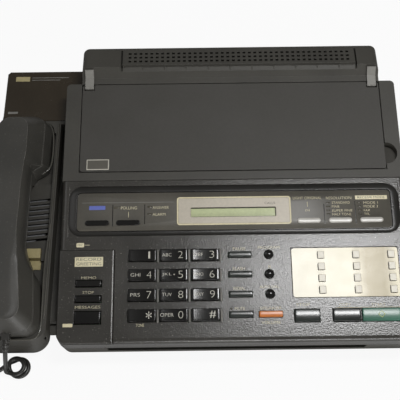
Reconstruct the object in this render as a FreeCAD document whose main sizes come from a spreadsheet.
"""Desktop telephone with fax, display and a microcassette answering deck.

Frame: X to the right, the front faces -Y, Z up, millimetres.
The origin lies on the table, below the centre of the machine without its handset cord.
Sizes are kept in one spreadsheet, and every sketch dimension is bound to its cells.
"""
import FreeCAD, Part
import Sketcher
import math
import os
import re
from FreeCAD import Placement, Rotation, Vector

SIZES = {
    # main housing, side view measured from its front edge and from the table
    "main_width": 305.0,
    "block_depth": 25.0,
    "wall": 2.5,
    "foot_height": 3.0,
    "foot_radius": 8.0,
    "split_height": 26.0,
    "split_set_back": 1.2,
    "base_set_back": 6.0,
    "corner_radius": 7.5,
    "main_corner": 9.0,
    "cradle_corner": 14.0,
    "lip_height": 40.7,
    "lip_radius": 4.5,
    "panel_slope": 11.4,
    "panel_reach": 141.6,
    "panel_thickness": 3.0,
    "lid_slope": 10.4,
    "shell_gap": 0.5,
    "strip_land": 1.0,
    "strip_depth": 8.5,
    "strip_corner": 4.0,
    "block_width": 277.0,
    "block_step": 5.6,
    "block_lean": 7.0,
    "block_over_lip": 55.3,
    "block_round": 5.0,
    "block_corner": 6.0,
    "deck_height": 30.0,
    # document exit under the front lip
    "exit_width": 222.0,
    "exit_floor": 12.0,
    # sockets in the rear wall, the main board's posts and the case screws
    "socket_x": 60.0,
    "socket_pitch": 22.0,
    "socket_z": 15.0,
    "socket_width": 11.6,
    "socket_height": 9.0,
    "socket_depth": 8.0,
    "main_board_lift": 4.0,
    "screw_radius": 1.5,
    "screw_recess": 2.0,
    "screw_length": 10.0,
    "screw_side": 32.5,
    "screw_front": 60.0,
    "screw_rear": 25.0,
    "gland_y": 259.0,
    "gland_z": 12.6,
    # big lid over the paper compartment
    "lid_width": 275.6,
    "lid_set_back": 9.0,
    "lid_length": 85.8,
    "lid_thickness": 2.6,
    "lid_gap": 0.8,
    "ledge": 4.0,
    "lid_corner": 2.5,
    "lid_pin_set_back": 2.3,
    "lid_pin_radius": 1.1,
    "hinge_set_in": 6.3,
    "hinge_width": 8.0,
    "hinge_reach": 5.0,
    "notch_set_back": 14.8,
    "notch_radius": 10.2,
    "notch_depth": 5.5,
    # ventilation grille in the rear block
    "grille_left": -100.6,
    "grille_right": 116.7,
    "grille_set_back": 0.8,
    "grille_slit": 1.8,
    "grille_apron": 2.8,
    "grille_rib": 1.0,
    "grille_rib_pitch": 20.4,
    "grille_depth": 18.6,
    "grille_thickness": 2.5,
    "grille_rise": 1.0,
    "grille_pitch": 5.1,
    "grille_hole": 2.7,
    "grille_row_pitch": 4.6,
    "grille_border": 12.5,
    # keys: the panel frame has its origin at the front lip
    "fit": 0.35,
    "key_travel": 1.2,
    "key_bevel": 0.6,
    "flange": 0.6,
    "flange_thickness": 1.0,
    "seat_gap": 0.3,
    "key_x": -80.4,
    "key_up": 22.8,
    "key_pitch_x": 26.95,
    "key_pitch_up": 17.4,
    "key_width": 23.7,
    "key_length": 10.3,
    "key_rise": 3.0,
    "function_x": 3.6,
    "function_width": 19.8,
    "function_length": 4.9,
    "function_rise": 2.2,
    "round_x": 28.7,
    "round_radius": 3.9,
    "round_rise": 1.6,
    "speaker_key_x": 28.7,
    "stop_x": 59.2,
    "stop_width": 21.4,
    "copy_x": 92.6,
    "copy_width": 23.2,
    "start_x": 122.1,
    "start_width": 33.0,
    "command_up": 21.3,
    "command_length": 10.8,
    # one-touch card and its keys
    "card_x": 94.4,
    "card_up": 58.6,
    "card_width": 91.8,
    "card_length": 43.2,
    "card_thickness": 0.8,
    "card_corner": 2.5,
    "touch_x": 73.8,
    "touch_up": 43.2,
    "touch_pitch_x": 30.4,
    "touch_pitch_up": 10.25,
    "touch_width": 5.3,
    "touch_length": 5.9,
    "touch_rise": 0.9,
    # display strip
    "band_width": 292.0,
    "band_length": 46.5,
    "band_set_down": 28.15,
    "band_depth": 0.7,
    "display_width": 276.8,
    "display_length": 34.4,
    "display_set_down": 3.4,
    "display_depth": 1.5,
    "display_rise": 0.2,
    "display_corner": 3.5,
    "glass_x": -0.8,
    "glass_rise": 2.2,
    "glass_width": 74.6,
    "glass_length": 9.8,
    "glass_thickness": 1.2,
    "slot_drop": 7.7,
    "slot_length": 4.6,
    "slot_rise": 1.2,
    "dark_x": -120.6,
    "dark_pitch": 27.3,
    "dark_width": 21.2,
    "silver_x": 65.5,
    "silver_pitch": 27.5,
    "silver_width": 20.4,
    # answering door on the left front corner
    "door_width": 48.0,
    "door_length": 80.5,
    "door_thickness": 3.0,
    "door_gap": 0.5,
    "door_round": 1.8,
    "door_key_x": -126.2,
    "door_key_up": 51.0,
    "door_key_pitch": 13.4,
    "door_key_width": 21.6,
    "door_key_length": 5.0,
    "door_key_tall": 10.0,
    "door_key_rise": 1.8,
    "door_key_fit": 0.9,
    # circuit boards
    "board_thickness": 1.6,
    "board_gap": 0.3,
    "key_board_front": 8.0,
    "door_board_rear": 70.0,
    "main_board_half": 100.0,
    "main_board_front": 22.0,
    "main_board_length": 106.0,
    "post_radius": 2.5,
    # handset cradle: its frame has its origin at the front, below the handset's middle
    "cradle_width": 67.0,
    "cradle_draft": 3.3,
    "handset_offset": 38.2,
    "cradle_height": 44.5,
    "cradle_slope": 4.0,
    "cradle_set_back": 2.5,
    "groove_width": 7.0,
    "groove_depth": 12.0,
    "notch_reach": 22.0,
    "cradle_lean": 3.5,
    "rest_depth": 5.0,
    "cup_depth": 8.3,
    "cup_width": 48.8,
    "cup_front": 4.5,
    "cup_length": 70.6,
    "ear_gap": 1.7,
    "ear_length": 64.2,
    "rim_x": 26.0,
    "rim_width": 4.0,
    "cup_corner": 11.0,
    "handset_corner": 11.0,
    "speaker_x": 3.3,
    "speaker_radius": 25.0,
    "slot_pitch": 4.9,
    "slot_gap": 2.3,
    "hook_x": 13.0,
    "hook_width": 14.0,
    "hook_front": 68.0,
    "hook_step": 77.0,
    "hook_rear": 86.0,
    # handset
    "handset_width": 48.0,
    "handset_front": 4.8,
    "handset_gap": 0.3,
    "handset_top": 31.0,
    "handset_bevel_foot": 4.0,
    "handset_ridge_left": -20.5,
    "handset_ridge_right": 6.5,
    "ear_end_set_in": 1.0,
    "ear_end_lean": 12.0,
    "grip_width": 27.0,
    "grip_under": 9.0,
    "handset_split": 12.0,
    "cap_bottom": 8.0,
    # cassette deck behind the handset
    "tape_room": 59.27,
    "tape_lid_thickness": 2.2,
    "tape_lid_gap": 0.5,
    "tape_deck_x": 5.0,
    "tape_deck_set_back": 28.6,
    "tape_deck_width": 56.0,
    "tape_deck_length": 42.0,
    "tape_deck_depth": 13.5,
    "tape_width": 50.0,
    "tape_length": 33.0,
    "tape_thickness": 8.7,
    "hub_spacing": 25.0,
    "hub_radius": 4.5,
    "spindle_radius": 2.8,
    # paper path
    "cheek_x": 112.0,
    "cheek_thickness": 2.0,
    "roll_set_back": 49.4,
    "roll_z": 38.0,
    "roll_radius": 24.0,
    "roll_length": 216.0,
    "spool_radius": 5.0,
    "platen_set_back": 12.4,
    "platen_z": 50.0,
    "platen_radius": 9.0,
    "platen_shaft_radius": 3.0,
    "shaft_fit": 0.3,
    # handset cord
    "cord_radius": 2.0,
    "curl_radius": 10.0,
    "curl_hole": 3.8,
    "curl_height": 8.4,
    "coil_radius": 7.0,
}

# Places that follow from the sizes above. The side view is a chain from the front lip back.
LINKED = {
    "lid_front": "panel_reach + lid_set_back",
    "lid_rear": "lid_front + lid_length",
    "strip_reach": "lid_rear + strip_land",
    "block_foot": "strip_reach + block_step",
    "block_front": "block_foot + block_lean",
    "depth": "block_front + block_depth",
    "block_height": "lip_height + block_over_lip",
    "notch_y": "lid_front + notch_set_back",
    "hinge_x": "lid_width / 2 - hinge_set_in",
    "grille_front": "block_front + grille_set_back",
    "grille_columns": "floor((grille_right - grille_left - grille_border) / grille_pitch) + 1",
    "band_up": "panel_reach / cos(panel_slope) - band_set_down",
    "display_up": "band_up - display_set_down",
    "glass_up": "display_up + glass_rise",
    "slot_up": "display_up - slot_drop",
    "tape_front": "depth / cos(cradle_slope) - tape_room",
    "tape_deck_up": "tape_front + tape_deck_set_back",
    "ear_front": "tape_front - ear_gap - ear_length",
    "handset_length": "ear_front + ear_length - handset_gap - handset_front",
    "speaker_up": "(hook_rear + ear_front) / 2",
    "main_board_rear": "main_board_front + main_board_length",
    "platen_y": "lid_front + platen_set_back",
    "roll_y": "lid_front + roll_set_back",
}

doc = FreeCAD.newDocument("AnsweringMachine")
sheet = doc.addObject("Spreadsheet::Sheet", "sizes")


def fill_sheet():
    """Write each size and each linked place to a cell of its own, with its name as the alias."""
    for row, (name, size) in enumerate([*SIZES.items(), *LINKED.items()], start=1):
        sheet.set(f"A{row}", name)
        sheet.setAlias(f"B{row}", name)
        sheet.set(f"B{row}", f"={size}" if name in LINKED else str(size))
    doc.recompute()


def bound(text):
    """Return an expression in which every size name points at the spreadsheet."""
    def point(word):
        known = word.group() in SIZES or word.group() in LINKED
        return "sizes." + word.group() if known else word.group()
    return re.sub(r"[a-z_]+", point, str(text))


def value(text):
    """Return the number that an expression of sizes gives."""
    return float(sheet.evalExpression(bound(text)))


fill_sheet()

# --- derived places, as expressions ------------------------------------------------
REACH_HEIGHT = "(lip_height + panel_reach * tan(panel_slope))"
PANEL_LENGTH = "(panel_reach / cos(panel_slope))"
HALF = "(main_width / 2)"
HALF_BLOCK = "(block_width / 2)"
LID_FRONT_UP = "((lid_front - panel_reach) / cos(lid_slope))"
LID_REAR_UP = "((lid_rear - panel_reach) / cos(lid_slope))"
BASE_LEFT = "(handset_offset - cradle_width)"
CRADLE_LEFT = "(handset_offset - cradle_width + cradle_draft)"
CRADLE_RIGHT = "(handset_offset - groove_width)"
TAPE_RIGHT = "(handset_offset + main_width / 2 - block_width / 2 - shell_gap)"
CRADLE_LENGTH = "(depth / cos(cradle_slope))"
FLANGE_TOP = "(0 - panel_thickness - seat_gap)"
BOARD_TOP = "(0 - panel_thickness - seat_gap - flange_thickness - key_travel - board_gap)"
DOOR_LEFT = "(0 - main_width / 2)"
DOOR_AXIS = "(door_width - door_thickness / 2 - main_width / 2)"
DOOR_WELL = "(door_thickness + seat_gap)"
DOOR_FLOOR = "(door_thickness + seat_gap + wall)"
DOOR_FLANGE_TOP = f"(0 - {DOOR_FLOOR} - seat_gap)"
DOOR_BOARD_TOP = f"({DOOR_FLANGE_TOP} - flange_thickness - key_travel - board_gap)"


def lid_z(y):
    """Height of the lid plane above the table at a distance behind the front edge."""
    return f"({REACH_HEIGHT} + (({y}) - panel_reach) * tan(lid_slope))"


def block_z(y):
    """Height of the rear block's sloping face at a distance behind the front edge."""
    rise = f"(block_height - {lid_z('block_foot')}) / block_lean"
    return f"({lid_z('block_foot')} + (({y}) - block_foot) * {rise})"


def panel_up(y, z):
    """Distance up the panel of a point of the side view."""
    return f"(({y}) * cos(panel_slope) + (({z}) - lip_height) * sin(panel_slope))"


def panel_lift(y, z):
    """Distance above the panel of a point of the side view."""
    return f"((({z}) - lip_height) * cos(panel_slope) - ({y}) * sin(panel_slope))"


def cradle_up(y, z):
    """Distance up the cradle's top of a point of the side view."""
    return f"(({y}) * cos(cradle_slope) + (({z}) - cradle_height) * sin(cradle_slope))"


def cradle_lift(y, z):
    """Distance above the cradle's top of a point of the side view."""
    return f"((({z}) - cradle_height) * cos(cradle_slope) - ({y}) * sin(cradle_slope))"


PIN_Y = "(lid_rear - lid_pin_set_back * cos(lid_slope) + lid_thickness / 2 * sin(lid_slope))"
PIN_Z = f"({lid_z('lid_rear')} - lid_pin_set_back * sin(lid_slope) - lid_thickness / 2 * cos(lid_slope))"

# --- frames that the pieces are placed in ------------------------------------------
MAIN = Placement(Vector(value("cradle_width / 2"), value("0 - depth / 2"), 0), Rotation())


def tilted(x, y, z, slope):
    """Return a frame of the main housing that leans back by the named slope."""
    turn = Rotation(Vector(1, 0, 0), value(slope))
    return MAIN * Placement(Vector(value(x), value(y), value(z)), turn)


PANEL = tilted("0", "0", "lip_height", "panel_slope")
LID = tilted("0", "panel_reach", REACH_HEIGHT, "lid_slope")
CRADLE = tilted(f"0 - {HALF} - handset_offset", "0", "cradle_height", "cradle_slope")

parts = {}


# --- building blocks ----------------------------------------------------------------
def new_body(name, frame=MAIN):
    """Add an empty body whose label names its file."""
    body = doc.addObject("PartDesign::Body", name)
    body.Label = name
    body.Placement = frame
    parts[name] = body
    return body


def sketch(body, role, offset="0"):
    """Add a sketch on one of the body's origin planes, moved along its normal."""
    plane = next(item for item in body.Origin.OriginFeatures if item.Role == role)
    drawing = body.newObject("Sketcher::SketchObject", "Sketch")
    drawing.AttachmentSupport = [(plane, "")]
    drawing.MapMode = "FlatFace"
    drawing.setExpression("AttachmentOffset.Base.z", bound(offset))
    return drawing


def place_point(drawing, line, end, x, y):
    """Fix a point of a sketch by two dimensions from its origin."""
    for kind, text in (("DistanceX", x), ("DistanceY", y)):
        index = drawing.addConstraint(Sketcher.Constraint(kind, -1, 1, line, end, value(text)))
        if bound(text) != str(text):
            drawing.setExpression(f"Constraints[{index}]", bound(text))


def polygon(drawing, corners):
    """Draw a closed outline through corners given as pairs of expressions."""
    points = [Vector(value(x), value(y), 0) for x, y in corners]
    first = drawing.GeometryCount
    count = len(points)
    for index, start in enumerate(points):
        drawing.addGeometry(Part.LineSegment(start, points[(index + 1) % count]))
    for index in range(count):
        following = first + (index + 1) % count
        drawing.addConstraint(Sketcher.Constraint("Coincident", first + index, 2, following, 1))
    for index, (x, y) in enumerate(corners):
        place_point(drawing, first + index, 1, x, y)


def rectangle(drawing, x, y, width, length):
    """Draw a rectangle about its middle."""
    left, right = f"({x}) - ({width}) / 2", f"({x}) + ({width}) / 2"
    low, high = f"({y}) - ({length}) / 2", f"({y}) + ({length}) / 2"
    polygon(drawing, [(left, low), (right, low), (right, high), (left, high)])


def span(drawing, left, right, low, high):
    """Draw a rectangle from its four sides."""
    polygon(drawing, [(left, low), (right, low), (right, high), (left, high)])


def circle(drawing, x, y, radius):
    """Draw a circle."""
    middle = Vector(value(x), value(y), 0)
    index = drawing.addGeometry(Part.Circle(middle, Vector(0, 0, 1), value(radius)))
    place_point(drawing, index, 3, x, y)
    size = drawing.addConstraint(Sketcher.Constraint("Radius", index, value(radius)))
    drawing.setExpression(f"Constraints[{size}]", bound(radius))


def ring(drawing, x, y, radius, sides):
    """Draw a regular polygon, for small round things that nobody looks at closely."""
    angles = [360 * index / sides for index in range(sides)]
    polygon(drawing, [(f"({x}) + ({radius}) * cos({angle})", f"({y}) + ({radius}) * sin({angle})")
                      for angle in angles])


def soft_corners(drawing, left, right, front, rear, radius):
    """Draw a box outline with its four corners rounded off in three short steps."""
    points = []
    for quarter, (side, end) in enumerate(((f"{right} - ({radius})", f"{rear} - ({radius})"),
                                           (f"{left} + ({radius})", f"{rear} - ({radius})"),
                                           (f"{left} + ({radius})", f"{front} + ({radius})"),
                                           (f"{right} - ({radius})", f"{front} + ({radius})"))):
        for step in range(4):
            angle = 90 * quarter + 30 * step
            points.append((f"{side} + ({radius}) * cos({angle})", f"{end} + ({radius}) * sin({angle})"))
    polygon(drawing, points)


def pad(body, drawing, length, centred=False, reverse=False, taper="0"):
    """Raise a sketch into a solid."""
    feature = body.newObject("PartDesign::Pad", "Pad")
    feature.Profile = drawing
    feature.setExpression("Length", bound(length))
    feature.SideType = "Symmetric" if centred else "One side"
    feature.Reversed = reverse
    feature.TaperAngle = value(taper)
    drawing.Visibility = False
    doc.recompute()
    return feature


def pocket(body, drawing, length, centred=False, reverse=False):
    """Cut a sketch into the solid, and stop if nothing was cut."""
    before = body.Shape.Volume
    feature = body.newObject("PartDesign::Pocket", "Pocket")
    feature.Profile = drawing
    feature.setExpression("Length", bound(length))
    feature.SideType = "Symmetric" if centred else "One side"
    feature.Reversed = reverse
    feature.Refine = False
    drawing.Visibility = False
    doc.recompute()
    if body.Shape.Volume >= before:
        raise RuntimeError(f"a pocket of {body.Label} cuts nothing")
    return feature


def pattern(body, feature, role, length, count):
    """Repeat a feature in a row along one of the body's axes."""
    axis = next(item for item in body.Origin.OriginFeatures if item.Role == role)
    row = body.newObject("PartDesign::LinearPattern", "Row")
    row.Originals = [feature]
    row.Direction = (axis, [""])
    row.setExpression("Length", bound(length))
    row.setExpression("Occurrences", bound(count))
    body.Tip = row
    doc.recompute()
    return row


def round_edges(body, radius, chosen, kind="Fillet"):
    """Round or chamfer the edges that a test picks out."""
    base = body.Tip
    names = [f"Edge{index}" for index, edge in enumerate(base.Shape.Edges, start=1) if chosen(edge)]
    if not names:
        raise RuntimeError(f"no edge of {body.Label} to round")
    feature = body.newObject(f"PartDesign::{kind}", kind)
    feature.Base = (base, names)
    feature.setExpression("Radius" if kind == "Fillet" else "Size", bound(radius))
    doc.recompute()
    return feature


def along(edge, axis):
    """Tell whether an edge runs mainly along an axis (0, 1 or 2)."""
    first, last = edge.Vertexes[0].Point, edge.Vertexes[-1].Point
    run = [abs(last[index] - first[index]) for index in range(3)]
    return run[axis] > 3 * (sum(run) - run[axis]) and edge.Curve.TypeId == "Part::GeomLine"


def close(number, text, slack=0.2):
    """Tell whether a number is about what an expression gives."""
    return abs(number - value(text)) < slack


# --- lower case ----------------------------------------------------------------------
def make_base_case():
    body = new_body("base_case")
    side = [("base_set_back", "foot_height"), ("split_set_back", "split_height"),
            ("depth", "split_height"), ("depth", "foot_height")]
    cradle_side = [("base_set_back", "foot_height"), ("cradle_set_back + 1.3", "split_height"),
                   ("depth", "split_height"), ("depth", "foot_height")]
    main = sketch(body, "YZ_Plane")
    polygon(main, side)
    pad(body, main, "main_width", centred=True)
    wing = sketch(body, "YZ_Plane", f"0 - {HALF}")
    polygon(wing, cradle_side)
    pad(body, wing, "cradle_width", reverse=True)
    notch = sketch(body, "XY_Plane", "split_height")
    span(notch, f"0 - {HALF} - groove_width", f"0 - {HALF}", "0 - 1", "notch_reach")
    pocket(body, notch, "split_height")
    lean = sketch(body, "XZ_Plane", "1")
    wall_x = f"0 - {HALF} - groove_width"
    polygon(lean, [(f"{wall_x} + 0.1", "split_height"), (f"{wall_x} - 1.5", "split_height"),
                   (f"{wall_x} - 1.5 - cradle_lean", "foot_height"), (f"{wall_x} + 0.1", "foot_height")])
    pocket(body, lean, "notch_reach + 1")

    def front_corner(edge):
        return along(edge, 2) and edge.CenterOfMass.y < value("notch_reach") - 2

    def on_main(edge):
        return edge.CenterOfMass.x > value(f"0 - {HALF}") - 0.2
    round_edges(body, "cradle_corner", lambda edge: front_corner(edge) and not on_main(edge))
    round_edges(body, "main_corner", lambda edge: front_corner(edge) and on_main(edge))
    round_edges(body, "corner_radius", lambda edge: along(edge, 2) and close(
        edge.CenterOfMass.y, "depth"))
    hollow = sketch(body, "XY_Plane", "split_height")
    soft_corners(hollow, f"0 - {HALF} + wall", f"{HALF} - wall", "base_set_back + wall",
                 "depth - wall", "main_corner - wall")
    soft_corners(hollow, f"0 - {HALF} - cradle_width + wall", f"{wall_x} - 1.5 - cradle_lean - wall",
                 "base_set_back + wall", "depth - wall", "cradle_corner - wall")
    pocket(body, hollow, "split_height - foot_height - wall")
    mouth = sketch(body, "XY_Plane", "split_height")
    rectangle(mouth, "0", "base_set_back / 2", "exit_width", "base_set_back + 3 * wall")
    pocket(body, mouth, "split_height - exit_floor")
    posts = sketch(body, "XY_Plane", "foot_height + wall")
    for x in ("5 - main_board_half", "main_board_half - 5"):
        for y in ("main_board_front + 8", "main_board_rear - 8"):
            ring(posts, x, y, "post_radius", 8)
    pad(body, posts, "main_board_lift")
    bosses = sketch(body, "XY_Plane", "foot_height + wall - 0.1")
    bores = sketch(body, "XY_Plane", "foot_height")
    recesses = sketch(body, "XY_Plane", "foot_height")
    for x, y in screw_places():
        ring(bosses, x, y, "2 * screw_radius + wall / 2", 6)
        ring(bores, x, y, "screw_radius + 0.1", 6)
        ring(recesses, x, y, "2 * screw_radius + seat_gap", 8)
    pad(body, bosses, "screw_length")
    gland = sketch(body, "YZ_Plane", f"0 - {HALF} - cradle_width + 0.5")
    ring(gland, "gland_y", "gland_z", "2 * cord_radius", 8)
    pad(body, gland, "2.2", reverse=True)
    pocket(body, bores, "screw_recess + screw_length + seat_gap", reverse=True)
    pocket(body, recesses, "screw_recess", reverse=True)
    return body


def document_and_phone_sockets():
    """Cut the power inlet and the two telephone sockets into the rear wall."""
    body = parts["base_case"]
    block = sketch(body, "XZ_Plane", "0 - depth + wall / 2")
    span(block, "socket_x - 1.5 * socket_pitch", "socket_x + 1.5 * socket_pitch",
         "foot_height + wall", "split_height - 1")
    pad(body, block, "socket_depth + wall")
    holes = sketch(body, "XZ_Plane", "0 - depth")
    for index in range(3):
        rectangle(holes, f"socket_x + {index - 1} * socket_pitch", "socket_z",
                  "socket_width", "socket_height")
    pocket(body, holes, "socket_depth", reverse=True)
    return body


# --- rear upper case -------------------------------------------------------------------
def make_top_case():
    body = new_body("top_case")
    start = "panel_reach + shell_gap"
    wide = sketch(body, "YZ_Plane")
    polygon(wide, [(start, "split_height"), (start, lid_z(start)),
                   ("strip_reach", lid_z("strip_reach")), ("strip_reach", "split_height")])
    pad(body, wide, "main_width", centred=True)
    round_edges(body, "strip_corner", lambda edge: along(edge, 2) and close(
        edge.CenterOfMass.y, "strip_reach"))
    block = sketch(body, "YZ_Plane")
    polygon(block, [("strip_reach - 1", "split_height"), ("strip_reach - 1", lid_z("strip_reach") + " - 1"),
                    ("strip_reach", lid_z("strip_reach")), ("block_foot", lid_z("block_foot")),
                    ("block_front", "block_height"), ("depth", "block_height"), ("depth", "split_height")])
    pad(body, block, "block_width", centred=True)
    round_edges(body, "block_corner", lambda edge: along(edge, 2) and close(
        edge.CenterOfMass.y, "depth"))
    round_edges(body, "block_round", lambda edge: along(edge, 0) and close(
        edge.CenterOfMass.y, "depth") and close(edge.CenterOfMass.z, "block_height"))
    deck = sketch(body, "YZ_Plane")
    span(deck, "strip_reach - 1", "depth", "split_height", "deck_height")
    pad(body, deck, "main_width", centred=True)
    room = sketch(body, "YZ_Plane")
    polygon(room, [(start + " - 1", "split_height - 1"),
                   (start + " - 1", lid_z(start) + " - strip_depth"),
                   ("strip_reach - wall", lid_z("strip_reach") + " - strip_depth"),
                   ("strip_reach - wall", "split_height - 1")])
    pocket(body, room, "main_width - 2 * wall", centred=True)
    attic = sketch(body, "YZ_Plane")
    polygon(attic, [("strip_reach - wall - 1", "split_height - 1"),
                    ("strip_reach - wall - 1", lid_z("strip_reach") + " - strip_depth"),
                    ("block_foot + wall", lid_z("strip_reach") + " - strip_depth"),
                    ("block_front + wall", "block_height - 2 * wall"),
                    ("depth - wall", "block_height - 2 * wall"), ("depth - wall", "split_height - 1")])
    pocket(body, attic, "block_width - 2 * wall", centred=True)
    seat = sketch(body, "YZ_Plane")
    front, rear = "lid_front - lid_gap", "lid_rear + lid_gap"
    under = " - lid_thickness - seat_gap"
    polygon(seat, [(front, lid_z(front) + " + 1"), (front, lid_z(front) + under),
                   (rear, lid_z(rear) + under), (rear, lid_z(rear) + " + 1")])
    pocket(body, seat, "lid_width + 2 * lid_gap", centred=True)
    well = sketch(body, "XY_Plane", "block_height")
    span(well, "0 - lid_width / 2 + ledge", "lid_width / 2 - ledge", "lid_front + ledge", "lid_rear - 6")
    pocket(body, well, "block_height - split_height")
    swing = sketch(body, "XY_Plane", "block_height")
    span(swing, "0 - lid_width / 2 - lid_gap", "lid_width / 2 + lid_gap",
         "lid_rear - hinge_reach - 2", "lid_rear + lid_gap")
    pocket(body, swing, "block_height - " + lid_z("lid_rear") + " + strip_depth - wall")
    notch = sketch(body, "XY_Plane", "block_height")
    circle(notch, "lid_width / 2 + lid_gap", "notch_y", "notch_radius")
    pocket(body, notch, "block_height - " + lid_z("notch_y") + " + notch_depth")
    vent = sketch(body, "XY_Plane", "block_height")
    span(vent, "grille_left - grille_slit", "grille_right + grille_slit", "grille_front - seat_gap",
         "grille_front + grille_depth + seat_gap")
    pocket(body, vent, "grille_thickness - grille_rise")
    slits = sketch(body, "XY_Plane", "block_height")
    for left in ("grille_left - grille_slit", "grille_right"):
        span(slits, left, left + " + grille_slit", "block_front - grille_apron - 0.4",
             "grille_front + grille_depth")
    pocket(body, slits, "grille_thickness + 1")
    foot, edge = "block_front - grille_apron", "grille_front - seat_gap"
    apron = sketch(body, "YZ_Plane", "grille_left - 0.1")
    polygon(apron, [(foot, block_z(foot) + " - 0.2"), (edge, "block_height - 1.6"),
                    (edge, "block_height + 1"), (foot, block_z(foot) + " + 1")])
    pocket(body, apron, "grille_right - grille_left + 0.2", reverse=True)
    rib = sketch(body, "YZ_Plane", "grille_left + grille_rib_pitch - 2")
    polygon(rib, [(foot, block_z(foot) + " - 0.6"), (edge, "block_height - 2.2"),
                  (edge, "block_height - 0.5")])
    ribs = pad(body, rib, "grille_rib")
    pattern(body, ribs, "X_Axis", "9 * grille_rib_pitch", "10")
    duct = sketch(body, "XY_Plane", "block_height")
    span(duct, "grille_left + ledge", "grille_right - ledge", "grille_front + wall",
         "grille_front + grille_depth - wall")
    pocket(body, duct, "3 * wall")
    return body


# --- front upper case --------------------------------------------------------------------
def key_table():
    """Return every key of the panel: name, place, size, height, shape and floor kind."""
    keys = []
    names = ("star", "0", "hash", "7", "8", "9", "4", "5", "6", "1", "2", "3")
    for index, name in enumerate(names):
        column, row = index % 3, index // 3
        keys.append((f"dial_key_{name}", f"key_x + {column} * key_pitch_x",
                     f"key_up + {row} * key_pitch_up", "key_width", "key_length", "key_rise"))
    for row in range(4):
        keys.append((f"function_key_{row + 1}", "function_x", f"key_up + {row} * key_pitch_up",
                     "function_width", "function_length", "function_rise"))
    for row in range(1, 4):
        keys.append((f"round_key_{row}", "round_x", f"key_up + {row} * key_pitch_up",
                     "2 * round_radius", None, "round_rise"))
    keys.append(("speaker_key", "speaker_key_x", "key_up", "function_width",
                 "function_length", "function_rise"))
    for name in ("stop", "copy", "start"):
        keys.append((f"{name}_key", f"{name}_x", "command_up", f"{name}_width",
                     "command_length", "key_rise"))
    for index in range(2):
        keys.append((f"dark_slot_key_{index + 1}", f"dark_x + {index} * dark_pitch", "slot_up",
                     "dark_width", "slot_length", "slot_rise"))
    for index in range(3):
        keys.append((f"silver_slot_key_{index + 1}", f"silver_x + {index} * silver_pitch",
                     "slot_up", "silver_width", "slot_length", "slot_rise"))
    return keys


def touch_places():
    """Return the columns of the one-touch keys, each a list of places."""
    return [[(f"touch_x + {column} * touch_pitch_x", f"touch_up + {row} * touch_pitch_up")
             for row in range(4)] for column in range(3)]


def door_key_places():
    """Return place and length of the three keys that stand through the answering door."""
    places = [("door_key_x", f"door_key_up - {index} * door_key_pitch", "door_key_length")
              for index in range(2)]
    low = "door_key_up - 2 * door_key_pitch - (door_key_tall - door_key_length) / 2"
    return places + [("door_key_x", low, "door_key_tall")]


def board_posts():
    """Return where the key board hangs from the panel, clear of every key."""
    left, middle = "key_x - key_pitch_x / 2 - 4", "function_x + 13"
    right = "touch_x + touch_pitch_x / 2"
    rear = "display_up - display_length / 2 - post_radius - 1.2"
    between = "key_up + key_pitch_up / 2"
    return [(left, "key_board_front + post_radius + 1.5"), (left, rear), (middle, between),
            (middle, rear), (right, between), (right, rear)]


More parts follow.
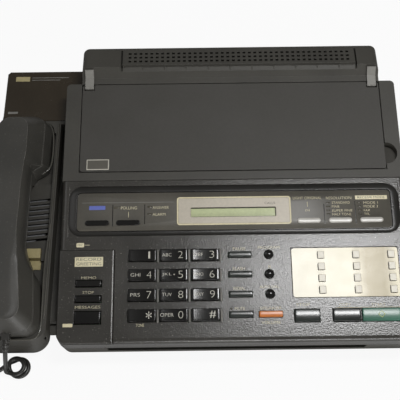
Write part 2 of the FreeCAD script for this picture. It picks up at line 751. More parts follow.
def make_control_panel():
    body = new_body("control_panel", PANEL)
    side = sketch(body, "YZ_Plane")
    foot = ("split_set_back", "split_height + shell_gap / 2")
    heel = ("panel_reach", "split_height + shell_gap / 2")
    polygon(side, [("0", "0"), (PANEL_LENGTH, "0"), (panel_up(*heel), panel_lift(*heel)),
                   (panel_up(*foot), panel_lift(*foot))])
    pad(body, side, "main_width", centred=True)
    round_edges(body, "main_corner", lambda edge: close(edge.CenterOfMass.y, "0", 4) and abs(
        abs(edge.CenterOfMass.x) - value(HALF)) < 0.1 and not along(edge, 1))
    round_edges(body, "lip_radius", lambda edge: close(edge.CenterOfMass.z, "0", 0.1)
                and edge.CenterOfMass.y < value("main_corner") + 1)
    divide = f"{DOOR_LEFT} + door_width + 2"
    low = "split_height - 4"
    inside_front, inside_rear = ("wall + 1.5", low), ("panel_reach + 1", low)

    def room(left, right, start_up, end_up, ceiling):
        drawing = sketch(body, "YZ_Plane", left)
        polygon(drawing, [(start_up, f"0 - {ceiling}"), (end_up, f"0 - {ceiling}"),
                          (f"{end_up} + 0 * wall", panel_lift(*inside_rear)),
                          (panel_up(*inside_front) if start_up == "wall + 1.5" else start_up,
                           panel_lift(*inside_front))])
        pocket(body, drawing, f"({right}) - ({left})", reverse=True)
    room(divide, f"{HALF} - wall", "wall + 1.5", f"{PANEL_LENGTH} + 1", "panel_thickness")
    room(f"wall - {HALF}", divide, "wall + 1.5", "door_length + 3", DOOR_FLOOR)
    room(f"wall - {HALF}", divide, "door_length + 3", f"{PANEL_LENGTH} + 1", "panel_thickness")
    well = sketch(body, "XY_Plane")
    span(well, f"{DOOR_LEFT} - 1", f"{DOOR_LEFT} + door_width + door_gap", "0 - 12",
         "door_length + door_gap")
    pocket(body, well, DOOR_WELL)
    band = sketch(body, "XY_Plane")
    rectangle(band, "0", "band_up", "band_width", "band_length")
    pocket(body, band, "band_depth")
    seat = sketch(body, "XY_Plane")
    rectangle(seat, "0", "display_up", "display_width + 2 * fit", "display_length + 2 * fit")
    pocket(body, seat, "display_depth + band_depth")
    card = sketch(body, "XY_Plane")
    rectangle(card, "card_x", "card_up", "card_width + 2 * fit", "card_length + 2 * fit")
    pocket(body, card, "card_thickness")
    keys = key_table()
    for first in range(0, len(keys), 4):
        holes = sketch(body, "XY_Plane")
        for name, x, up, width, length, rise in keys[first:first + 4]:
            if length is None:
                ring(holes, x, up, f"{width} / 2 + fit", 20)
            else:
                rectangle(holes, x, up, f"{width} + 2 * fit", f"{length} + 2 * fit")
        pocket(body, holes, "panel_thickness + 0.5")
    for column in touch_places():
        holes = sketch(body, "XY_Plane")
        for x, up in column:
            rectangle(holes, x, up, "touch_width + 2 * fit", "touch_length + 2 * fit")
        pocket(body, holes, "panel_thickness + 0.5")
    window = sketch(body, "XY_Plane")
    rectangle(window, "glass_x", "glass_up", "glass_width - 4", "glass_length - 3")
    pocket(body, window, "panel_thickness + 0.5")
    door_holes = sketch(body, "XY_Plane", f"0 - {DOOR_WELL} + 0.1")
    for x, up, length in door_key_places():
        rectangle(door_holes, x, up, "door_key_width + 2 * fit", f"{length} + 2 * fit")
    pocket(body, door_holes, "wall + 1")
    posts = sketch(body, "XY_Plane", "0 - panel_thickness + 0.2")
    for x, up in board_posts():
        ring(posts, x, up, "post_radius", 8)
    pad(body, posts, f"0 - {BOARD_TOP} - panel_thickness + 0.2", reverse=True)
    door_posts = sketch(body, "XY_Plane", f"0 - {DOOR_FLOOR} + 0.2")
    for up in ("key_board_front + 4", "door_board_rear - 4"):
        ring(door_posts, "door_key_x", up, "post_radius", 8)
    pad(body, door_posts, f"0 - {DOOR_BOARD_TOP} - {DOOR_FLOOR} + 0.2", reverse=True)
    return body


def make_key(name, x, up, width, length, rise):
    """Make one key: a drafted cap on a stem with a flange below the panel."""
    body = new_body(name, PANEL * Placement(Vector(value(x), value(up), 0), Rotation()))
    cap = sketch(body, "XY_Plane", FLANGE_TOP)
    skirt = sketch(body, "XY_Plane", FLANGE_TOP)
    if length is None:
        ring(cap, "0", "0", f"{width} / 2", 20)
        rectangle(skirt, "0", "0", f"{width} + 2 * flange", f"{width} + 2 * flange")
    else:
        rectangle(cap, "0", "0", width, length)
        rectangle(skirt, "0", "0", f"{width} + 2 * flange", f"{length} + 2 * flange")
    pad(body, cap, f"({rise}) - {FLANGE_TOP}")
    pad(body, skirt, "flange_thickness", reverse=True)
    top = value(rise)
    round_edges(body, "key_bevel", lambda edge: abs(edge.CenterOfMass.z - top) < 0.05, "Chamfer")
    return body


def make_keys():
    for key in key_table():
        make_key(*key)


def make_touch_keys():
    """Make the one-touch keys, a column of four caps to a node."""
    for index, column in enumerate(touch_places(), start=1):
        caps = []
        for row, (x, up) in enumerate(column, start=1):
            cap = doc.addObject("Part::Box", f"touch_cap_{index}_{row}")
            skirt = doc.addObject("Part::Box", f"touch_skirt_{index}_{row}")
            cap.setExpression("Length", bound("touch_width"))
            cap.setExpression("Width", bound("touch_length"))
            cap.setExpression("Height", bound(f"touch_rise - {FLANGE_TOP}"))
            skirt.setExpression("Length", bound("touch_width + 2 * flange"))
            skirt.setExpression("Width", bound("touch_length + 2 * flange"))
            skirt.setExpression("Height", bound("flange_thickness"))
            cap.Placement.Base = Vector(value(f"{x} - touch_width / 2"),
                                        value(f"{up} - touch_length / 2"), value(FLANGE_TOP))
            skirt.Placement.Base = Vector(value(f"{x} - touch_width / 2 - flange"),
                                          value(f"{up} - touch_length / 2 - flange"),
                                          value(f"{FLANGE_TOP} - flange_thickness"))
            fused = doc.addObject("Part::Fuse", f"touch_key_{index}_{row}")
            fused.Base, fused.Tool = cap, skirt
            caps.append(fused)
        group = doc.addObject("Part::Compound", f"one_touch_keys_{index}")
        group.Links = caps
        group.Placement = PANEL
        group.Label = f"one_touch_keys_{index}"
        parts[group.Label] = group


def make_one_touch_card():
    body = new_body("one_touch_card", PANEL)
    plate = sketch(body, "XY_Plane", "0 - card_thickness")
    rectangle(plate, "card_x", "card_up", "card_width", "card_length")
    pad(body, plate, "card_thickness")
    round_edges(body, "card_corner", lambda edge: along(edge, 2))
    holes = sketch(body, "XY_Plane")
    for column in touch_places():
        for x, up in column:
            rectangle(holes, x, up, "touch_width + 2 * fit", "touch_length + 2 * fit")
    pocket(body, holes, "card_thickness + 1")


def make_display_panel():
    body = new_body("display_panel", PANEL)
    plate = sketch(body, "XY_Plane", "0 - display_depth - band_depth")
    rectangle(plate, "0", "display_up", "display_width", "display_length")
    pad(body, plate, "display_depth + display_rise")
    round_edges(body, "display_corner", lambda edge: along(edge, 2))
    holes = sketch(body, "XY_Plane", "display_rise")
    rectangle(holes, "glass_x", "glass_up", "glass_width + 0.4", "glass_length + 0.4")
    for name, x, up, width, length, rise in key_table():
        if "slot_key" in name:
            rectangle(holes, x, up, f"{width} + 2 * fit", f"{length} + 2 * fit")
    pocket(body, holes, "display_depth + band_depth + 1")


def make_lcd_glass():
    body = new_body("lcd_glass", PANEL)
    plate = sketch(body, "XY_Plane", "0 - display_depth - band_depth")
    rectangle(plate, "glass_x", "glass_up", "glass_width", "glass_length")
    pad(body, plate, "glass_thickness")


def make_answering_door():
    body = new_body("answering_door", PANEL)
    plate = sketch(body, "XY_Plane", "0 - door_thickness")
    span(plate, DOOR_LEFT, DOOR_AXIS, "0", "door_length")
    pad(body, plate, "door_thickness")
    round_edges(body, "main_corner", lambda edge: along(edge, 2) and close(
        edge.CenterOfMass.x, DOOR_LEFT) and close(edge.CenterOfMass.y, "0"))
    round_edges(body, "door_round", lambda edge: close(edge.CenterOfMass.z, "0", 0.05) and (
        edge.CenterOfMass.y < value("main_corner") or close(edge.CenterOfMass.x, DOOR_LEFT)))
    barrel = sketch(body, "XZ_Plane")
    ring(barrel, DOOR_AXIS, "0 - door_thickness / 2", "door_thickness / 2", 12)
    pad(body, barrel, "door_length", reverse=True)
    holes = sketch(body, "XY_Plane")
    for x, up, length in door_key_places():
        rectangle(holes, x, up, "door_key_width + 2 * door_key_fit", f"{length} + 2 * door_key_fit")
    pocket(body, holes, "door_thickness + 1")


def make_door_keys():
    """Make the three keys below the door, tall enough to stand through it."""
    for index, (x, up, length) in enumerate(door_key_places(), start=1):
        place = PANEL * Placement(Vector(value(x), value(up), 0), Rotation())
        body = new_body(f"door_key_{index}", place)
        cap = sketch(body, "XY_Plane", DOOR_FLANGE_TOP)
        rectangle(cap, "0", "0", "door_key_width", length)
        pad(body, cap, f"door_key_rise - {DOOR_FLANGE_TOP}")
        skirt = sketch(body, "XY_Plane", DOOR_FLANGE_TOP)
        rectangle(skirt, "0", "0", "door_key_width + 2 * flange", f"{length} + 2 * flange")
        pad(body, skirt, "flange_thickness", reverse=True)
        top = value("door_key_rise")
        round_edges(body, "key_bevel", lambda edge: abs(edge.CenterOfMass.z - top) < 0.05, "Chamfer")


def make_circuit_board():
    """Make the key board, the door board and the main board, one solid each."""
    boards = []
    for name, left, right, low, high, top, frame in (
            ("key_board", "key_x - 18", f"{HALF} - wall - 2", "key_board_front", "band_up - 4.3",
             BOARD_TOP, PANEL),
            ("door_board", f"{DOOR_LEFT} + wall + 2", "key_x - 21", "key_board_front",
             "door_board_rear", DOOR_BOARD_TOP, PANEL),
            ("main_board", "0 - main_board_half", "main_board_half", "main_board_front",
             "main_board_rear", "foot_height + wall + main_board_lift + board_thickness", MAIN)):
        plate = doc.addObject("Part::Box", name)
        plate.setExpression("Length", bound(f"({right}) - ({left})"))
        plate.setExpression("Width", bound(f"({high}) - ({low})"))
        plate.setExpression("Height", bound("board_thickness"))
        corner = Vector(value(left), value(low), value(f"({top}) - board_thickness"))
        plate.Placement = frame * Placement(corner, Rotation())
        boards.append(plate)
    group = doc.addObject("Part::Compound", "circuit_board")
    group.Links = boards
    group.Label = "circuit_board"
    parts[group.Label] = group


# --- lid, hinges and grille -----------------------------------------------------------------
def make_paper_lid():
    body = new_body("paper_lid", LID)
    plate = sketch(body, "XY_Plane", "0 - lid_thickness")
    span(plate, "0 - lid_width / 2", "lid_width / 2", LID_FRONT_UP, LID_REAR_UP)
    pad(body, plate, "lid_thickness")
    round_edges(body, "lid_corner", lambda edge: along(edge, 2))
    gaps = sketch(body, "XY_Plane")
    for side in ("0 - hinge_x", "hinge_x"):
        rectangle(gaps, side, LID_REAR_UP, "hinge_width + 2 * lid_gap", "2 * hinge_reach + 1.6")
    pocket(body, gaps, "lid_thickness + 1")
    ribs = sketch(body, "XY_Plane", "0 - lid_thickness + 0.2")
    for x in ("0 - 80", "0", "80"):
        rectangle(ribs, x, f"({LID_FRONT_UP} + {LID_REAR_UP}) / 2", "wall", "lid_rear - lid_front - 26")
    pad(body, ribs, "wall", reverse=True)
    axis_up = f"{LID_REAR_UP} - lid_pin_set_back"
    for side in (-1, 1):
        start = f"hinge_x * {side} - hinge_width / 2 - lid_gap - 0.2"
        pins = sketch(body, "YZ_Plane", start)
        ring(pins, axis_up, "0 - lid_thickness / 2", "lid_pin_radius", 8)
        pad(body, pins, "hinge_width + 2 * lid_gap + 0.4")


def make_lid_hinges():
    body = new_body("lid_hinges")
    low = " - lid_thickness"
    front = "lid_rear - hinge_reach + 0.8"
    edge = "strip_reach - 0.3"
    for side in (-1, 1):
        start = f"hinge_x * {side} - hinge_width / 2"
        arm = sketch(body, "YZ_Plane", start)
        polygon(arm, [(front, lid_z(front) + low), (edge, lid_z(edge) + low),
                      (edge, lid_z(edge) + " + 0.05"), ("block_foot", lid_z("block_foot") + " + 0.05"),
                      ("block_front - 1.5", block_z("block_front - 1.5") + " + 0.15"),
                      ("block_front - 3.2", block_z("block_front - 3.2") + " + 3.7"),
                      ("block_foot - 1", lid_z("block_foot") + " + 2"),
                      (f"{front} + 1.2", lid_z(front) + " + 1.4"), (front, lid_z(front) + " + 0.4")])
        pad(body, arm, "hinge_width")
    bores = sketch(body, "YZ_Plane", "0 - main_width / 2")
    ring(bores, PIN_Y, PIN_Z, "lid_pin_radius + 0.3", 12)
    pocket(body, bores, "main_width", reverse=True)


def make_vent_grille():
    body = new_body("vent_grille")
    top = "block_height + grille_rise"
    plate = sketch(body, "XY_Plane", top)
    span(plate, "grille_left", "grille_right", "grille_front", "grille_front + grille_depth")
    pad(body, plate, "grille_thickness", reverse=True)
    ridge = sketch(body, "XY_Plane", top + " - 0.2")
    span(ridge, "grille_left", "grille_right", "grille_front", "grille_front + 1.6")
    pad(body, ridge, "0.9")
    middle = "(grille_left + grille_right) / 2"
    first = f"{middle} - grille_pitch * (grille_columns - 1) / 2"
    holes = sketch(body, "XY_Plane", top)
    for row in range(3):
        rectangle(holes, first, f"grille_front + 4.8 + {row} * grille_row_pitch",
                  "grille_hole", "grille_hole * 0.8")
    cut = pocket(body, holes, "grille_thickness + 1")
    pattern(body, cut, "X_Axis", "grille_pitch * (grille_columns - 1)", "grille_columns")


# --- cradle and handset -------------------------------------------------------------------
def make_cradle_case():
    body = new_body("cradle_case", CRADLE)
    front_top = ("cradle_set_back", "cradle_height")
    low = "split_height + shell_gap / 2"
    side = sketch(body, "YZ_Plane", BASE_LEFT)
    polygon(side, [("cradle_set_back", "0"), (CRADLE_LENGTH + " - 2", "0"),
                   (cradle_up("depth", low), cradle_lift("depth", low)),
                   (cradle_up("cradle_set_back + 1.3", low), cradle_lift("cradle_set_back + 1.3", low))])
    pad(body, side, f"{CRADLE_RIGHT} - {BASE_LEFT}")

    round_edges(body, "cradle_corner", lambda edge: along(edge, 2) and edge.CenterOfMass.y < 9)
    round_edges(body, "corner_radius", lambda edge: along(edge, 2)
                and edge.CenterOfMass.y > value(CRADLE_LENGTH) - 9)
    bank = sketch(body, "XZ_Plane", "1")
    polygon(bank, [("rim_x + rim_width", "0.1"), (CRADLE_RIGHT, "0 - groove_depth"),
                   (CRADLE_RIGHT + " + 1", "0 - groove_depth"), (CRADLE_RIGHT + " + 1", "0.1")])
    pocket(body, bank, "tape_front - 3")
    lean = sketch(body, "XZ_Plane", "1")
    polygon(lean, [(CRADLE_RIGHT, "0 - groove_depth"), (CRADLE_RIGHT + " + 1", "0 - groove_depth"),
                   (CRADLE_RIGHT + " + 1", "0 - groove_depth - 12"),
                   (CRADLE_RIGHT + " - 2", "0 - groove_depth - 12")])
    pocket(body, lean, "notch_reach + 1")
    draft = sketch(body, "XZ_Plane", "1")
    polygon(draft, [(CRADLE_LEFT, "0.1"), (BASE_LEFT + " - 1", "0.1"), (BASE_LEFT + " - 1", "0 - 17"),
                    (BASE_LEFT, "0 - 17")])
    pocket(body, draft, "depth + 5")
    groove = sketch(body, "YZ_Plane", CRADLE_RIGHT + " - 1")
    polygon(groove, [("notch_reach", "0 - groove_depth"), (cradle_up("depth", "deck_height + 8"),
                     "0 - groove_depth"), (cradle_up("depth", "deck_height + shell_gap"),
                     cradle_lift("depth", "deck_height + shell_gap")),
                     (cradle_up("notch_reach", "deck_height + shell_gap"),
                     cradle_lift("notch_reach", "deck_height + shell_gap"))])
    pad(body, groove, "groove_width + 1 - shell_gap")
    shelf = sketch(body, "XY_Plane")
    span(shelf, f"{CRADLE_RIGHT} - 1", "handset_offset - shell_gap", "tape_front - 4",
         CRADLE_LENGTH + " - 2")
    pad(body, shelf, "groove_depth + 1", reverse=True)
    corner = sketch(body, "XY_Plane")
    span(corner, "handset_offset - shell_gap - 1", TAPE_RIGHT, cradle_up("strip_reach + shell_gap",
         "cradle_height + 16"), CRADLE_LENGTH + " - 2")
    pad(body, corner, "groove_depth + 1", reverse=True)
    room = sketch(body, "YZ_Plane", f"{CRADLE_LEFT} + wall")
    ceiling = "(0 - cup_depth - wall)"
    polygon(room, [("cradle_set_back + wall + 2", ceiling), (CRADLE_LENGTH + " - 2 - wall", ceiling),
                   (cradle_up("depth - wall", "split_height - 3"),
                    cradle_lift("depth - wall", "split_height - 3")),
                   ("cradle_set_back + wall + 2", cradle_lift("cradle_set_back", "split_height - 3"))])
    pocket(body, room, f"{CRADLE_RIGHT} - {CRADLE_LEFT} - 2 * wall", reverse=True)
    rest = sketch(body, "XY_Plane")
    span(rest, "0 - cup_width / 2", "rim_x", "cup_front + cup_corner + 1",
         "ear_front + ear_length - cup_corner - 1")
    pocket(body, rest, "rest_depth")
    cups = sketch(body, "XY_Plane")
    for front, length in (("cup_front", "cup_length"), ("ear_front", "ear_length")):
        soft_corners(cups, "0 - cup_width / 2", "cup_width / 2", front, f"{front} + {length}",
                     "cup_corner")
    pocket(body, cups, "cup_depth")
    ends = sketch(body, "XY_Plane", "0 - rest_depth + 0.1")
    span(ends, "0 - cup_width / 2", "cup_width / 2", "cup_front + cup_length - cup_corner",
         "cup_front + cup_length")
    span(ends, "0 - cup_width / 2", "cup_width / 2", "ear_front", "ear_front + cup_corner")
    pocket(body, ends, "cup_depth - rest_depth + 0.1")
    attic = sketch(body, "XY_Plane", "0 - cup_depth - wall - 0.1")
    span(attic, f"{CRADLE_LEFT} + wall", f"{CRADLE_RIGHT} - wall", "cup_front + cup_length + wall",
         "ear_front - wall")
    pocket(body, attic, "cup_depth - rest_depth", reverse=True)
    grille = sketch(body, "XY_Plane", "0 - rest_depth")
    slope = "tan(20)"
    left, right = "0 - 14", "24.5"
    start = "hook_rear + 5"
    polygon(grille, [(left, start), (right, f"{start} + ({right} - {left}) * {slope}"),
                     (right, f"{start} + ({right} - {left}) * {slope} + slot_gap"),
                     (left, f"{start} + slot_gap")])
    slots = pocket(body, grille, "wall + 1")
    pattern(body, slots, "Y_Axis", "8 * slot_pitch", "9")
    hook = sketch(body, "XY_Plane")
    rectangle(hook, "hook_x", "(hook_front + hook_rear) / 2", "hook_width + 2 * fit",
              "hook_rear - hook_front + 2 * fit")
    pocket(body, hook, "cup_depth + wall + 1")
    tape = sketch(body, "XY_Plane")
    span(tape, f"{CRADLE_LEFT} - 1", f"{TAPE_RIGHT} + 1", "tape_front - tape_lid_gap",
         CRADLE_LENGTH + " + 1")
    pocket(body, tape, "tape_lid_thickness + tape_lid_gap")
    seat = sketch(body, "XY_Plane")
    rectangle(seat, "tape_deck_x", "tape_deck_up", "tape_deck_width + 4", "tape_deck_length + 4")
    pocket(body, seat, "tape_lid_thickness + tape_lid_gap + 1.5")
    tub = sketch(body, "XY_Plane")
    rectangle(tub, "tape_deck_x", "tape_deck_up", "tape_deck_width + 0.4", "tape_deck_length + 0.4")
    pocket(body, tub, "tape_lid_thickness + tape_lid_gap + tape_deck_depth + seat_gap")
    return body


def make_cassette_lid():
    body = new_body("cassette_lid", CRADLE)
    plate = sketch(body, "XY_Plane", "0 - tape_lid_thickness")
    rear = f"{CRADLE_LENGTH} - 2.5"
    inner_up = cradle_up("strip_reach + shell_gap", "cradle_height + 16") + " + 0.3"
    axis = f"{rear} - tape_lid_thickness / 2"
    polygon(plate, [(CRADLE_LEFT, "tape_front"), ("handset_offset - 1", "tape_front"),
                    ("handset_offset - 1", inner_up), (TAPE_RIGHT, inner_up),
                    (TAPE_RIGHT, axis), (CRADLE_LEFT + " + 2", axis), (CRADLE_LEFT, f"{axis} - 2")])
    pad(body, plate, "tape_lid_thickness")
    barrel = sketch(body, "YZ_Plane", CRADLE_LEFT + " + 2")
    ring(barrel, axis, "0 - tape_lid_thickness / 2", "tape_lid_thickness / 2", 12)
    pad(body, barrel, f"{TAPE_RIGHT} - {CRADLE_LEFT} - 2")


def make_cassette_deck():
    body = new_body("cassette_deck", CRADLE)
    top = "0 - tape_lid_thickness - tape_lid_gap"
    flange = sketch(body, "XY_Plane", top)
    rectangle(flange, "tape_deck_x", "tape_deck_up", "tape_deck_width + 3.4", "tape_deck_length + 3.4")
    pad(body, flange, "1.5", reverse=True)
    tub = sketch(body, "XY_Plane", top)
    rectangle(tub, "tape_deck_x", "tape_deck_up", "tape_deck_width", "tape_deck_length")
    pad(body, tub, "tape_deck_depth", reverse=True)
    bay = sketch(body, "XY_Plane", top)
    rectangle(bay, "tape_deck_x", "tape_deck_up", "tape_width + 1.2", "tape_length + 1.2")
    pocket(body, bay, "tape_deck_depth - wall")
    spindles = sketch(body, "XY_Plane", f"{top} - tape_deck_depth + wall - 0.2")
    for side in (-1, 1):
        ring(spindles, f"tape_deck_x + {side} * hub_spacing / 2", "tape_deck_up", "spindle_radius", 8)
    pad(body, spindles, "tape_thickness - 1")


def make_microcassette():
    body = new_body("microcassette", CRADLE)
    low = "0 - tape_lid_thickness - tape_lid_gap - tape_deck_depth + wall"
    shell = sketch(body, "XY_Plane", low)
    rectangle(shell, "tape_deck_x", "tape_deck_up", "tape_width", "tape_length")
    pad(body, shell, "tape_thickness")
    hubs = sketch(body, "XY_Plane", low)
    for side in (-1, 1):
        ring(hubs, f"tape_deck_x + {side} * hub_spacing / 2", "tape_deck_up", "hub_radius", 12)
    pocket(body, hubs, "tape_thickness + 1", reverse=True)


def make_loudspeaker():
    body = new_body("loudspeaker", CRADLE)
    top = "0 - rest_depth - wall - seat_gap"
    for radius, start, length in (("speaker_radius", "0", "3"), ("speaker_radius - 6", "2.9", "8"),
                                  ("speaker_radius / 2", "10.8", "9")):
        step = sketch(body, "XY_Plane", f"{top} - {start}")
        ring(step, "speaker_x", "speaker_up", radius, 16)
        pad(body, step, length, reverse=True)


def make_hook_switch():
    body = new_body("hook_switch", CRADLE)
    side = sketch(body, "YZ_Plane", "hook_x - hook_width / 2")
    bottom = "0 - cup_depth - wall - 1"
    foot_top = "0 - cup_depth + 0.05"
    polygon(side, [("hook_front", bottom), ("hook_rear", bottom), ("hook_rear", "0 - rest_depth + 2.2"),
                   ("hook_step", "0 - rest_depth + 2.2"), ("hook_step", foot_top), ("hook_front", foot_top)])
    pad(body, side, "hook_width")


def at_handset_end(edge):
    """Tell whether an edge is an upright corner at either end of the handset."""
    middle = edge.CenterOfMass
    first, last = edge.Vertexes[0].Point, edge.Vertexes[-1].Point
    near_end = middle.y < value("handset_front + 8") or middle.y > value(
        "handset_front + handset_length - 18")
    return near_end and abs(middle.x) > 8 and abs(last.z - first.z) > 5


def make_handset():
    """Make the two shells of the handset, split at a level plane."""
    for name in ("handset_back", "handset_face"):
        body = new_body(name, CRADLE)
        rear = "handset_front + handset_length"
        ear_end = rear + " - ear_end_set_in"
        side = sketch(body, "YZ_Plane")
        if name == "handset_back":
            polygon(side, [("handset_front", "handset_split"), ("handset_front + 7", "handset_top - 1.5"),
                           ("handset_front + 62", "handset_top + 0.8"), (rear + " - 60", "handset_top + 1"),
                           (ear_end + " - ear_end_lean", "handset_top"), (ear_end, "handset_split")])
        else:
            polygon(side, [("handset_front", "0 - cap_bottom"), ("handset_front + 64", "0 - cap_bottom"),
                           ("handset_front + 70", "grip_under - 5"), ("handset_front + 82", "grip_under"),
                           (rear + " - 80", "grip_under"), (rear + " - 68", "grip_under - 5"),
                           (rear + " - 62", "0 - cap_bottom"), (rear, "0 - cap_bottom"),
                           (ear_end, "handset_split"), ("handset_front", "handset_split")])
        pad(body, side, "handset_width", centred=True)
        steep = "(handset_top + 3 - handset_bevel_foot) / (handset_top - handset_bevel_foot)"
        for sign, ridge in ((-1, "handset_ridge_left"), (1, "handset_ridge_right")):
            flank = f"({sign} * handset_width / 2)"
            bevel = sketch(body, "XZ_Plane")
            polygon(bevel, [(f"{flank} + {sign} * 0.01", "handset_bevel_foot"),
                            (f"{flank} + {sign} * 6", "handset_bevel_foot"),
                            (f"{flank} + {sign} * 6", "handset_top + 3"),
                            (f"{flank} + ({ridge} - {flank}) * {steep}", "handset_top + 3")])
            pocket(body, bevel, "handset_front + handset_length + 5")
        round_edges(body, "handset_corner", at_handset_end)
        waist = sketch(body, "XY_Plane", "handset_top + 4")
        for sign in (-1, 1):
            polygon(waist, [(f"{sign} * grip_width / 2", "handset_front + 78"),
                            (f"{sign} * grip_width / 2", rear + " - 76"),
                            (f"{sign} * (handset_width / 2 + 1)", rear + " - 62"),
                            (f"{sign} * (handset_width / 2 + 1)", "handset_front + 68")])
        pocket(body, waist, "handset_top + cap_bottom + 8")


# --- paper path --------------------------------------------------------------------------
def make_printer_frame():
    body = new_body("printer_frame")
    floor_z = "foot_height + wall"
    for side in (-1, 1):
        start = f"cheek_x * {side} - cheek_thickness / 2"
        cheek = sketch(body, "YZ_Plane", start)
        polygon(cheek, [("platen_y - 9", floor_z), ("roll_y + 28", floor_z), ("roll_y + 28", "roll_z + 8"),
                        ("roll_y + 12", "roll_z + 22"), ("platen_y + 8", "platen_z + 9"),
                        ("platen_y - 6", "platen_z + 6")])
        pad(body, cheek, "cheek_thickness")
    plate = sketch(body, "XY_Plane", floor_z)
    span(plate, "0 - cheek_x", "cheek_x", "platen_y - 9", "roll_y + 28")
    pad(body, plate, "wall")
    head = sketch(body, "YZ_Plane")
    span(head, "platen_y - 6", "platen_y + 8", "platen_z - platen_radius - 8",
         "platen_z - platen_radius - seat_gap")
    pad(body, head, "2 * cheek_x", centred=True)
    bores = sketch(body, "YZ_Plane", "0 - main_width / 2")
    ring(bores, "roll_y", "roll_z", "spool_radius + shaft_fit", 16)
    ring(bores, "platen_y", "platen_z", "platen_shaft_radius + shaft_fit", 16)
    pocket(body, bores, "main_width", reverse=True)


def make_roller(name, y, z, radius, length, shaft_radius):
    """Make a roller whose shaft runs through both cheeks of the printer frame."""
    body = new_body(name)
    drum = sketch(body, "YZ_Plane")
    ring(drum, y, z, radius, 30)
    pad(body, drum, length, centred=True)
    shaft = sketch(body, "YZ_Plane")
    ring(shaft, y, z, shaft_radius, 12)
    pad(body, shaft, "2 * cheek_x + 4 * cheek_thickness", centred=True)


# --- feet and screws ---------------------------------------------------------------------
def foot_places():
    return [(f"{HALF} - 20", "22"), (f"{HALF} - 20", "depth - 18"), (f"0 - {HALF} - cradle_width + 18", "24"),
            (f"0 - {HALF} - cradle_width + 18", "depth - 18"), (f"0 - {HALF} + 22", "depth - 18")]


def make_feet():
    body = new_body("feet")
    pads = sketch(body, "XY_Plane")
    for x, y in foot_places():
        ring(pads, x, y, "foot_radius", 20)
    pad(body, pads, "foot_height")


def screw_places():
    side, cradle = f"{HALF} - screw_side", f"0 - {HALF} - cradle_width / 2"
    rear = "depth - screw_rear"
    return [(f"0 - ({side})", "screw_front"), (side, "screw_front"), (f"0 - ({side})", rear), (side, rear),
            (cradle, "screw_front"), (cradle, rear + " - 5")]


def make_case_screws():
    body = new_body("case_screws")
    heads = sketch(body, "XY_Plane", "foot_height + screw_recess")
    shanks = sketch(body, "XY_Plane", "foot_height + screw_recess")
    for x, y in screw_places():
        ring(heads, x, y, "screw_radius * 2", 8)
        ring(shanks, x, y, "screw_radius", 6)
    pad(body, heads, "screw_recess - 0.4", reverse=True)
    pad(body, shanks, "screw_length")


# --- handset cord ------------------------------------------------------------------------
LEAD = [(-190.7, 4.16, 53.81), (-190.7, -5.82, 53.12), (-192.3, -9, 44), (-195.3, -9.6, 29),
        (-198, -9.4, 15), (-199.6, -12.2, 6.6)]
TAIL = [(-197.6, -2.6, 3.2), (-206, -9.6, 2.3), (-217, -14, 2.8), (-227.5, -7, 5.2), (-231, 5, 7.4)]
COIL = [(-231, 5, 7.4), (-230.2, 60, 7.4), (-232.4, 122, 7.4), (-230.8, 184, 7.4), (-231, 236, 7.4)]
RETURN = [(-231, 236, 7.4), (-230.6, 248, 8.6), (-227.8, 257, 11.4), (-221.2, 259, 12.6)]
CURL = (-190, -7.2, 0.3)


def corner_radius(before, corner, after):
    """Radius of the arc at a corner of a cord's route."""
    first, second = corner - before, after - corner
    half_turn = first.getAngle(second) / 2
    return 0.45 * min(first.Length, second.Length) / math.tan(half_turn)


def cord_path(points):
    """Join straight runs by tangent arcs."""
    edges = []
    start = points[0]
    for before, corner, after in zip(points, points[1:], points[2:]):
        radius = corner_radius(before, corner, after)
        inward, outward = (before - corner).normalize(), (after - corner).normalize()
        half_turn = (corner - before).getAngle(after - corner) / 2
        reach = radius * math.tan(half_turn)
        middle = (inward + outward).normalize()
        depth = radius / math.cos(half_turn) - radius
        arc_start, arc_end = corner + inward * reach, corner + outward * reach
        edges.append(Part.LineSegment(start, arc_start).toShape())
        edges.append(Part.Arc(arc_start, corner + middle * depth, arc_end).toShape())
        start = arc_end
    edges.append(Part.LineSegment(start, points[-1]).toShape())
    return Part.Wire(edges)


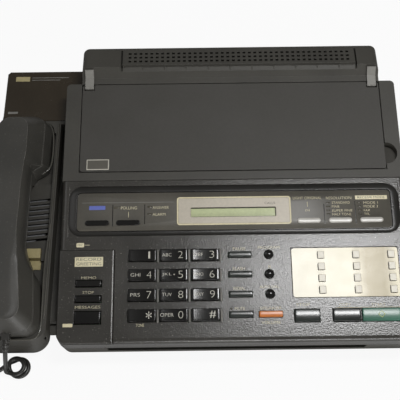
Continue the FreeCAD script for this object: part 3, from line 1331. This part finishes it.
def cord_tube(route, radius):
    """Sweep an eight-sided section of the cord's area along a route, and print how it bends."""
    points = [Vector(*point) for point in route]
    path = cord_path(points)
    sides = 8
    area = math.pi * radius ** 2
    reach = math.sqrt(2 * area / (sides * math.sin(2 * math.pi / sides)))
    flat = Rotation(Vector(0, 0, 1), points[1] - points[0])
    turns = [2 * math.pi * index / sides for index in range(sides + 1)]
    corners = [points[0] + flat.multVec(Vector(reach * math.cos(turn), reach * math.sin(turn), 0))
               for turn in turns]
    tube = path.makePipeShell([Part.makePolygon(corners)], True, False)
    radii = [corner_radius(*corner) for corner in zip(points, points[1:], points[2:])]
    expected = area * path.Length
    print(f"cord: length {path.Length:.1f}, least radius {min(radii):.1f}, "
          f"volume {tube.Volume / expected:.3f} of its section by its length")
    return tube


def set_shape(name, shape):
    feature = doc.addObject("Part::Feature", name)
    feature.Shape = shape
    feature.Placement = MAIN
    parts[name] = feature


def make_cord():
    thin = value("cord_radius")
    leads = [cord_tube(route, thin) for route in (LEAD, TAIL, RETURN)]
    set_shape("cord_lead", Part.makeCompound(leads))
    base, up = Vector(*CURL), Vector(0, 0, 1)
    ring = Part.makeCylinder(value("curl_radius"), value("curl_height"), base, up)
    ring = ring.cut(Part.makeCylinder(value("curl_hole"), value("curl_height"), base, up))
    set_shape("cord_coil", Part.makeCompound([ring, cord_tube(COIL, value("coil_radius"))]))


# --- the whole machine -------------------------------------------------------------------
def main():
    make_base_case()
    document_and_phone_sockets()
    make_top_case()
    make_control_panel()
    make_keys()
    make_touch_keys()
    make_one_touch_card()
    make_display_panel()
    make_lcd_glass()
    make_answering_door()
    make_door_keys()
    make_circuit_board()
    make_paper_lid()
    make_lid_hinges()
    make_vent_grille()
    make_cradle_case()
    make_cassette_lid()
    make_cassette_deck()
    make_microcassette()
    make_loudspeaker()
    make_hook_switch()
    make_handset()
    make_printer_frame()
    make_roller("paper_roll", "roll_y", "roll_z", "roll_radius", "roll_length", "spool_radius")
    make_roller("platen_roller", "platen_y", "platen_z", "platen_radius", "roll_length",
                "platen_shaft_radius")
    make_feet()
    make_case_screws()
    make_cord()


def write_parts():
    """Check every object and write each sub-part to its own file."""
    doc.recompute()
    failed = [item.Label for item in doc.Objects if {"Invalid", "Error"} & set(item.State)]
    if failed:
        raise RuntimeError(f"objects that failed: {failed}")
    os.makedirs("parts", exist_ok=True)
    for name, part in parts.items():
        if part.Shape.isNull() or not part.Shape.isValid():
            raise RuntimeError(f"the shape of {name} is not sound")
    for name, part in parts.items():
        part.Shape.exportStep(f"parts/{name}.step")
        print(name, len(part.Shape.Solids), round(part.Shape.Volume))


main()
write_parts()
